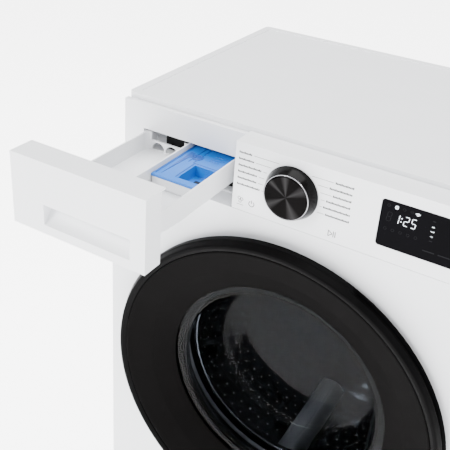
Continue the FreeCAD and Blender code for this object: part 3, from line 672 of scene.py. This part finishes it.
def hung_spring(side):
    """A coil spring between the cabinet's hook and the tub's lug."""
    low, high = span("suspension_springs")
    x, y, coil, wire = side * (high.x - 11.6), (low.y + high.y) / 2, 10.0, 1.6
    turns, around = 15, 8
    steps = turns * 20
    bm = bmesh.new()
    rows = []
    bottom, top = low.z + wire, high.z - wire
    for step in range(steps + 1):
        angle = 2 * math.pi * turns * step / steps
        z = bottom + (top - bottom) * step / steps
        middle = Vector((x + coil * math.cos(angle), y + coil * math.sin(angle), z))
        out = Vector((math.cos(angle), math.sin(angle), 0))
        row = []
        for number in range(around):
            spin = 2 * math.pi * number / around
            aside = out * math.cos(spin) + Vector((0, 0, 1)) * math.sin(spin)
            row.append(bm.verts.new(middle + aside * wire))
        rows.append(row)
    grid_faces(bm, rows, False, True)
    bm.faces.new(rows[0])
    bm.faces.new(rows[-1])
    name = "hung_spring_%s" % ("right" if side > 0 else "left")
    spring = piece(name, bm, MATERIALS["bearing_steel"], None, smooth=60)
    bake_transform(spring)
    return spring


def rubber_and_springs():
    gasket()
    bellows("detergent_bellows", "detergent_hose", "tub", 6)
    bellows("sump_bellows", "sump_hose", "cabinet", 9)
    springs = [hung_spring(side) for side in (-1, 1)]
    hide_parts("suspension_springs")


# ------------------------------------------------------------------ cabinet and panel
def cabinet():
    softened("top_plate", "cabinet", 1.6, segments=4)
    softened("control_panel", "cabinet", 1.1, segments=3)
    softened("cabinet_shell", "cabinet", 0.5, segments=2)
    softened("front_panel", "cabinet", 0.45, segments=2)
    softened("filter_flap", "flap", 0.6, segments=2)
    softened("base_pan", "cabinet", 1.2, segments=2)
    softened("rear_cover", "cabinet", 0.5, segments=2)
    softened("dispenser_housing", "cabinet", 0.8, segments=2)
    softened("control_box", "cabinet", 1.5, segments=3)
    softened("display_window", "cabinet", 0.35, segments=2)


def feet():
    """Adjustable feet with a ribbed rubber pad."""
    for corner in ("front_left", "front_right", "rear_left", "rear_right"):
        node = "foot_" + corner
        low, high = span(node)
        x, y = (low.x + high.x) / 2, (low.y + high.y) / 2
        stem, neck = 4.98, 12.8
        pad = [(0, 0), (18.5, 0), (21, 2), (21, 4), (20.2, 5), (21, 6), (21, 8), (12, neck),
               (stem, neck), (stem, high.z), (0, high.z)]
        body = "foot_" + corner[0] + corner[corner.index("_") + 1]
        piece(node + "_pad", upright_lathe(pad, 0.6, x, y), MATERIALS["rubber_black"], body,
              (node,))


# ------------------------------------------------------------------ programme knob
def knob():
    """The programme knob: a tapered black grip, a bright rim and a turned metal face."""
    base, face, top = (KNOB_HIGH.x - KNOB_LOW.x) / 2, 32.5, KNOB_LOW.y
    skirt, hub, shaft = FRONT - 1, 6, 3

    def turned(outline, radius):
        return lathe(outline, radius, steps=160, x=KNOB_X, z=KNOB_Z)

    grip = [(face - 1.5, top + 4), (face - 1.5, top + 0.6), (face, top + 0.6), (base, skirt),
            (base - 2.5, skirt), (face - 3.5, top + 6.5), (hub, top + 6.5), (hub, skirt),
            (shaft, skirt), (shaft, FRONT + 14), (0, FRONT + 14), (0, top + 4)]
    piece("knob_grip", turned(grip, 0.8), MATERIALS["knob_black"], "knob",
          ("knob_body",))
    rim = [(face - 1.4, top + 1.2), (face - 1.4, top + 0.1), (face - 0.7, top),
           (face - 0.1, top + 0.55), (face - 0.3, top + 1.2)]
    piece("knob_bright_rim", turned(rim, 0.2), CHROME, "knob")
    low, high = span("knob_disc")
    edge = (high.x - low.x) / 2
    disc = [(0, low.y + 0.9), (3.5, low.y + 0.9), (edge - 2.2, low.y + 0.1),
            (edge, low.y + 0.5), (edge, high.y), (0, high.y)]
    piece("knob_face", turned(disc, 0.5), MATERIALS["knob_metal"], "knob",
          ("knob_disc",), smooth=50)


# ------------------------------------------------------------------ printed and lit marks
def plate(bm, outline, y, thick=0.12):
    """A thin raised mark: an (x, z) outline on a plane that faces -Y."""
    near = [bm.verts.new((x, y - thick, z)) for x, z in outline]
    far = [bm.verts.new((x, y, z)) for x, z in outline]
    bm.faces.new(near)
    bm.faces.new(far[::-1])
    grid_faces(bm, [near, far], False, True)


def bar(bm, x, z, width, height, y):
    """A short bar with rounded ends, in place of a word."""
    half_w, half_h = width / 2, height / 2
    cut = min(half_w, half_h) * 0.6
    plate(bm, [(x - half_w + cut, z - half_h), (x + half_w - cut, z - half_h),
               (x + half_w, z - half_h + cut), (x + half_w, z + half_h - cut),
               (x + half_w - cut, z + half_h), (x - half_w + cut, z + half_h),
               (x - half_w, z + half_h - cut), (x - half_w, z - half_h + cut)], y)


def line(bm, start, end, width, y):
    """A thin straight stroke between two (x, z) points."""
    a, b = Vector(start), Vector(end)
    side = (b - a).normalized().orthogonal() * width / 2
    plate(bm, [tuple(a - side), tuple(b - side), tuple(b + side), tuple(a + side)], y)


def loop(bm, x, z, radius, width, y, start=0.0, sweep=360.0, steps=24):
    """A ring or an arc of one; start and sweep are in degrees."""
    for step in range(steps):
        a = math.radians(start + sweep * step / steps)
        b = math.radians(start + sweep * (step + 1) / steps)
        line(bm, (x + radius * math.cos(a), z + radius * math.sin(a)),
             (x + radius * math.cos(b), z + radius * math.sin(b)), width, y)


SEGMENTS = {"1": "bc", "2": "abged", "5": "afgcd", "8": "abcdefg"}


def digit(bm, shown, x, z, height, y):
    """A leaning seven-segment figure whose middle is at x, z."""
    wide, thick, lean = height * 0.42, height * 0.055, 0.12
    top, mid, low = height / 2, 0.0, -height / 2
    ends = {
        "a": ((-wide / 2, top), (wide / 2, top)), "b": ((wide / 2, top), (wide / 2, mid)),
        "c": ((wide / 2, mid), (wide / 2, low)), "d": ((-wide / 2, low), (wide / 2, low)),
        "e": ((-wide / 2, mid), (-wide / 2, low)), "f": ((-wide / 2, top), (-wide / 2, mid)),
        "g": ((-wide / 2, mid), (wide / 2, mid)),
    }
    for letter in SEGMENTS[shown]:
        (ax, az), (bx, bz) = ends[letter]
        start = Vector((x + ax + lean * az, z + az))
        end = Vector((x + bx + lean * bz, z + bz))
        trim = (end - start).normalized() * thick * 0.75
        line(bm, start + trim, end - trim, thick, y)


def marks(name, draw, material, slot):
    """One piece on the cabinet with all the marks that draw() adds."""
    bm = bmesh.new()
    draw(bm)
    piece(name, bm, material, "cabinet", smooth=20)


def display():
    """A time in figures, small symbols, and bars in place of words."""
    y = DISPLAY_LOW.y
    left = DISPLAY_LOW.x
    height, lean = 12.5, 0.12
    time_row, icon_row, step_row, name_row = 806, 821, 788.5, 775.5
    value_column = left + 66

    def bright(bm):
        for shown, place in (("1", 21.5), ("2", 33.5), ("5", 42.5)):
            digit(bm, shown, left + place, time_row, height, y)
        for drop in (2.4, -2.4):
            bar(bm, left + 27.2 + lean * drop, time_row + drop, 1.3, 1.3, y)
        loop(bm, left + 19, icon_row, 1.9, 0.7, y)
        line(bm, (left + 17.4, icon_row - 2.4), (left + 20.6, icon_row + 2.4), 0.6, y)
        for radius in (1.2, 2.6, 4.0):
            loop(bm, left + 45.5, 817.5, radius, 0.6, y, start=45, sweep=90, steps=8)
        for number, width in enumerate((3.2, 4.4, 3.4)):
            bar(bm, value_column, 804 - 6.6 * (number - 1), width, 1.5, y)

    def dim(bm):
        digit(bm, "8", left + 11.5, time_row, height, y)
        for number in range(5):
            x = left + 9 + 9.7 * number
            loop(bm, x, step_row, 1.8, 0.6, y)
            if number not in (1, 4):
                loop(bm, x, icon_row, 1.9, 0.6, y)
                line(bm, (x - 1.2, icon_row), (x + 1.2, icon_row), 0.5, y)
        for number in range(5):
            bar(bm, value_column, 818 - 6.8 * number, 3.8 - 0.3 * (number % 2), 1.3, y)
        for place, width in ((66, 15), (85, 15), (108, 16), (132, 17), (154, 15)):
            bar(bm, left + place, name_row, width, 1.7, y)
        for column in range(3):
            for number in range(4):
                bar(bm, left + 96 + 24 * column, 812 - 7 * number, 9 - (number % 2) * 2, 1.4, y)

    marks("display_lit_marks", bright, LIT_WHITE, "display_glass")
    marks("display_dim_marks", dim, LIT_DIM, "display_glass")


def word(bm, start, z, width, y):
    """A run of small blocks the size of letters, every fourth one tall, in place of a word."""
    wide, pitch, low, high = 1.5, 1.95, 2.5, 3.2
    letter, number = start, 0
    while letter + 1.3 < start + width:
        tall = high if number % 4 == 0 else low
        bar(bm, letter + 0.7, z + (tall - low) / 2, wide, tall, y)
        letter += pitch
        number += 1


def panel_print():
    """Programme names become runs of blocks, joined to the knob by hair lines."""
    y = FRONT
    widths_left = (20, 24, 36, 30, 29, 35)
    widths_right = (25, 32, 26, 34, 37, 33)
    left_edge, right_edge, left_top, right_top = -85.0, 79.0, 829.5, 827.0
    left_pitch, right_pitch = 9.5, 9.7
    reach, hair, gap = 41.5, 0.45, 2

    def names(bm):
        for number, (left, right) in enumerate(zip(widths_left, widths_right)):
            word(bm, left_edge, left_top - left_pitch * number, left, y)
            word(bm, right_edge - right, right_top - right_pitch * number, right, y)

    def leaders(bm):
        for number, (left, right) in enumerate(zip(widths_left, widths_right)):
            high = left_top - left_pitch * number
            edge = math.sqrt(reach ** 2 - (high - KNOB_Z) ** 2)
            line(bm, (left_edge + left + gap, high), (KNOB_X - edge, high), hair, y)
            high = right_top - right_pitch * number
            edge = math.sqrt(reach ** 2 - (high - KNOB_Z) ** 2)
            line(bm, (KNOB_X + edge, high), (right_edge - right - gap, high), hair, y)

    def symbols(bm):
        power_x, power_z = -60.6, 757
        loop(bm, power_x, power_z, 4.0, 0.95, y, start=120, sweep=300)
        line(bm, (power_x, 757.6), (power_x, 762.5), 0.95, y)
        for x, high in ((-80, 761), (-75.8, 759.8), (-78.4, 756)):
            loop(bm, x, high, 2.0, 0.6, y, steps=12)
        line(bm, (-83, 751), (-73, 751), 0.6, y)
        play_low, play_high = 750, 758.5
        corners = ((53.5, play_low), (53.5, play_high), (59, 754.25))
        for start, end in zip(corners, corners[1:] + corners[:1]):
            line(bm, start, end, 0.85, y)
        for x in (60.6, 63.2):
            line(bm, (x, play_low), (x, play_high), 1.0, y)

    marks("programme_bars", names, PRINT_GREY, "white_plastic")
    marks("programme_leaders", leaders, PRINT_GREY, "white_plastic")
    marks("panel_symbols", symbols, PRINT_GREY, "white_plastic")


# ------------------------------------------------------------------ detergent drawer
def drawer():
    softened("drawer_front", "drawer", 1.4, segments=4, merged=False)
    softened("drawer_tray", "drawer", 0.7, segments=3)
    siphon_insert()
    drawer_fittings()


def frame_box(bm, x, y, z):
    """A box between three spans."""
    for vert in bmesh.ops.create_cube(bm, size=1.0)["verts"]:
        vert.co.x = x[0] if vert.co.x < 0 else x[1]
        vert.co.y = y[0] if vert.co.y < 0 else y[1]
        vert.co.z = z[0] if vert.co.z < 0 else z[1]


def tray_with_pocket(bm, x, y, z, pocket_x, pocket_y, floor):
    """A box over three spans with a pocket down to floor, which may hang below the box."""
    xs = (x[0], pocket_x[0], pocket_x[1], x[1])
    ys = (y[0], pocket_y[0], pocket_y[1], y[1])
    top = [[bm.verts.new((px, py, z[1])) for px in xs] for py in ys]
    for row in range(3):
        for column in range(3):
            if (row, column) != (1, 1):
                near, far = top[row], top[row + 1]
                bm.faces.new((near[column], near[column + 1], far[column + 1], far[column]))
    mouth = [top[1][1], top[1][2], top[2][2], top[2][1]]
    deep = [bm.verts.new((vert.co.x, vert.co.y, floor)) for vert in mouth]
    grid_faces(bm, [mouth, deep], False, True)
    bm.faces.new(deep)
    around = top[0] + [top[1][3], top[2][3]] + top[3][::-1] + [top[2][0], top[1][0]]
    low = [bm.verts.new((vert.co.x, vert.co.y, z[0])) for vert in around]
    grid_faces(bm, [around, low], False, True)
    if floor > z[0]:
        bm.faces.new(low)


def siphon_insert():
    """The liquid insert: a white cup, and a blue lid with a deep pocket, ribs and a round cap."""
    low, high = span("siphon_insert")
    split = high.z - 4.5
    pocket_x, pocket_y = (high.x - 38.7, high.x - 4.2), (low.y + 12, low.y + 56)
    wall = 0.8
    bm = bmesh.new()
    tray_with_pocket(bm, (low.x + 1.2, high.x - 1.2), (low.y + 1.2, high.y - 0.6), (low.z, split),
                     (pocket_x[0] - wall, pocket_x[1] + wall),
                     (pocket_y[0] - wall, pocket_y[1] + wall), low.z + 2)
    cup = piece("insert_cup", bm, MATERIALS["white_plastic"], "drawer")
    soften_edges(cup, 1.2, 3)

    bm = bmesh.new()
    tray_with_pocket(bm, (low.x, high.x), (low.y, high.y), (split + 0.1, high.z - 0.8),
                     pocket_x, pocket_y, low.z + 3)
    lid = piece("insert_lid", bm, MATERIALS["blue_plastic"], "drawer",
                ("siphon_insert",))
    soften_edges(lid, 0.9, 3)

    top, left, right = high.z - 1.0, pocket_x[0] - 4, high.x - 30
    ribs = [((low.x + 3, low.x + 4.4), (low.y + 6, high.y - 4), 1.0),
            ((low.x + 21, low.x + 22.2), (low.y + 60, high.y - 3), 0.9),
            ((low.x + 29, low.x + 30.2), (low.y + 60, high.y - 3), 0.9),
            ((left, pocket_x[0] - 2.8), (pocket_y[0], pocket_y[1] + 3), 0.9),
            ((left, high.x - 3), (pocket_y[1] + 3, pocket_y[1] + 4.2), 0.9),
            ((right, high.x - 6), (high.y - 22, high.y - 20.8), 0.8)]
    for number in range(3):
        back = 5 * number
        ribs.append(((right, high.x - 10 - 3 * number),
                     (high.y - 30 - back, high.y - 28.6 - back), 0.7))
    bm = bmesh.new()
    for x, y, rise in ribs:
        frame_box(bm, x, y, (top, top + rise))
    rib_piece = piece("insert_ribs", bm, PAINTED_SHADE_BLUE, "drawer")
    soften_edges(rib_piece, 0.35)

    bm = bmesh.new()
    tip = bm.verts.new((low.x + 11, low.y + 8, top))
    heel = [bm.verts.new((low.x + x, y, top)) for x, y in ((9, high.y - 30), (16, high.y - 30))]
    barb = [bm.verts.new((low.x + x, y, top)) for x, y in ((20, high.y - 44), (15.5, high.y - 46))]
    outline = [tip, barb[1], barb[0], heel[1], heel[0]]
    crest = [bm.verts.new((vert.co.x, vert.co.y, top + 0.9)) for vert in outline]
    bm.faces.new(crest)
    grid_faces(bm, [outline, crest], False, True)
    bm.faces.new(outline[::-1])
    arrow = piece("insert_arrow", bm, PAINTED_SHADE_BLUE, "drawer")
    soften_edges(arrow, 0.4)

    cap = [(0, top - 0.3), (8.6, top - 0.3), (8.6, top + 0.9), (7.4, top + 0.9),
           (7.2, top + 0.3), (2.4, top + 0.3), (2.0, top + 0.9), (0, top + 0.9)]
    piece("insert_cap", upright_lathe(cap, 0.3, low.x + 26, high.y - 40), PAINTED_SHADE_BLUE, "drawer")

    # Painted shade: a thin dark plate on the pocket's floor stands in for the siphon's deep mouth.
    bm = bmesh.new()
    frame_box(bm, (pocket_x[0] + 9, pocket_x[1] - 1.5), (pocket_y[0] + 1.5, pocket_y[1] - 12),
              (low.z + 3.2, low.z + 4.0))
    mouth = piece("siphon_shade_plate", bm, PAINTED_SIPHON_SHADE, "drawer")
    soften_edges(mouth, 0.3)


def drawer_fittings():
    """The black stop behind the powder compartment, the guide in the port's corner and the sill."""
    low, high = span("drawer_tray")
    sill_low, sill_top, lip_top = 739.0, 741.4, 745.8
    bm = bmesh.new()
    frame_box(bm, (low.x + 30, low.x + 62), (high.y - 20, high.y - 4), (high.z - 24, high.z - 0.5))
    stop = piece("drawer_stop", bm, MATERIALS["black_plastic"], "drawer")
    soften_edges(stop, 2.5, 4)
    bm = bmesh.new()
    frame_box(bm, (high.x - 15, high.x - 1.5), (FRONT + 33, FRONT + 46),
              (low.z - 12.5, low.z - 0.7))
    guide = piece("drawer_guide", bm, MATERIALS["black_plastic"], "cabinet")
    soften_edges(guide, 3.5, 4)
    bm = bmesh.new()
    frame_box(bm, (low.x - 2, high.x + 13), (FRONT + 1.6, FRONT + 34), (sill_low, sill_top))
    frame_box(bm, (low.x - 2, high.x + 13), (FRONT + 32.6, FRONT + 34), (sill_top, lip_top))
    sill = piece("port_sill", bm, MATERIALS["white_plastic"], "cabinet")
    soften_edges(sill, 0.3)


# ------------------------------------------------------------------ stage, lights and camera
def studio():
    """A pale floor, an even white surround and four soft lamps, in metres and watts."""
    floor_mesh = bpy.data.meshes.new("studio_floor")
    reach, floor_glow = 14.0, 4.6
    corners = [(-reach, -reach, 0), (reach, -reach, 0), (reach, reach, 0), (-reach, reach, 0)]
    floor_mesh.from_pydata(corners, [], [(0, 1, 2, 3)])
    floor = bpy.data.objects.new("studio_floor", floor_mesh)
    bpy.context.scene.collection.objects.link(floor)
    paper = finish("studio_paper", (0.92, 0.92, 0.92), 0.8, grain=60, tint=0.004)
    shader = paper.node_tree.nodes["Principled BSDF"]
    shader.inputs["Emission Color"].default_value = (1, 1, 1, 1)
    shader.inputs["Emission Strength"].default_value = floor_glow
    floor_mesh.materials.append(paper)

    world = bpy.data.worlds.new("studio_world")
    bpy.context.scene.world = world
    world.use_nodes = True
    sky = world.node_tree.nodes["Background"]
    sky.inputs["Color"].default_value = (1.0, 1.0, 1.0, 1)
    sky.inputs["Strength"].default_value = 1.0

    def lamp(name, at, target, size, power):
        light = bpy.data.lights.new(name, "AREA")
        light.shape = "RECTANGLE"
        light.size, light.size_y = size
        light.energy = power
        holder = bpy.data.objects.new(name, light)
        holder.location = at
        holder.rotation_euler = (Vector(target) - Vector(at)).to_track_quat("-Z", "Y").to_euler()
        bpy.context.scene.collection.objects.link(holder)

    lamp("key", (-1.6, -2.6, 2.6), (0, 0, 0.5), (1.2, 1.2), 150)
    lamp("fill", (2.4, -2.2, 1.6), (0, 0, 0.5), (0.9, 1.4), 6)
    lamp("over", (0.2, 0.6, 3.2), (0, 0, 0.8), (2.4, 2.0), 150)
    lamp("glint", (1.1, -1.9, 2.3), (0, 0, 0.45), (0.2, 0.45), 26)


def camera():
    """The view from the front right and above, looking down at the drawer and the door."""
    azimuth, elevation, roll = (math.radians(value) for value in (29.3, 26.9, 3.9))
    place = Vector((332.6, FRONT - 795.1, 1262.8)) * MM
    focal, centre_x, centre_y, frame_size, sensor = 748.7, 220.0, 165.0, 450.0, 36.0
    ahead = Vector((-math.sin(azimuth) * math.cos(elevation),
                    math.cos(azimuth) * math.cos(elevation), -math.sin(elevation)))
    level = Vector((math.cos(azimuth), math.sin(azimuth), 0))
    upward = level.cross(ahead)
    right = level * math.cos(roll) + upward * math.sin(roll)
    up = upward * math.cos(roll) - level * math.sin(roll)
    data = bpy.data.cameras.new("photo_view")
    data.sensor_width = sensor
    data.lens = focal * sensor / frame_size
    data.shift_x = (frame_size / 2 - centre_x) / frame_size
    data.shift_y = (centre_y - frame_size / 2) / frame_size
    data.clip_start, data.clip_end = 0.01, 60
    holder = bpy.data.objects.new("photo_view", data)
    turn = Matrix((right, up, -ahead)).transposed().to_4x4()
    holder.matrix_world = Matrix.Translation(place) @ turn
    bpy.context.scene.collection.objects.link(holder)
    bpy.context.scene.camera = holder


dress_nodes()
drum()
door()
rubber_and_springs()
cabinet()
feet()
knob()
display()
panel_print()
drawer()
studio()
camera()
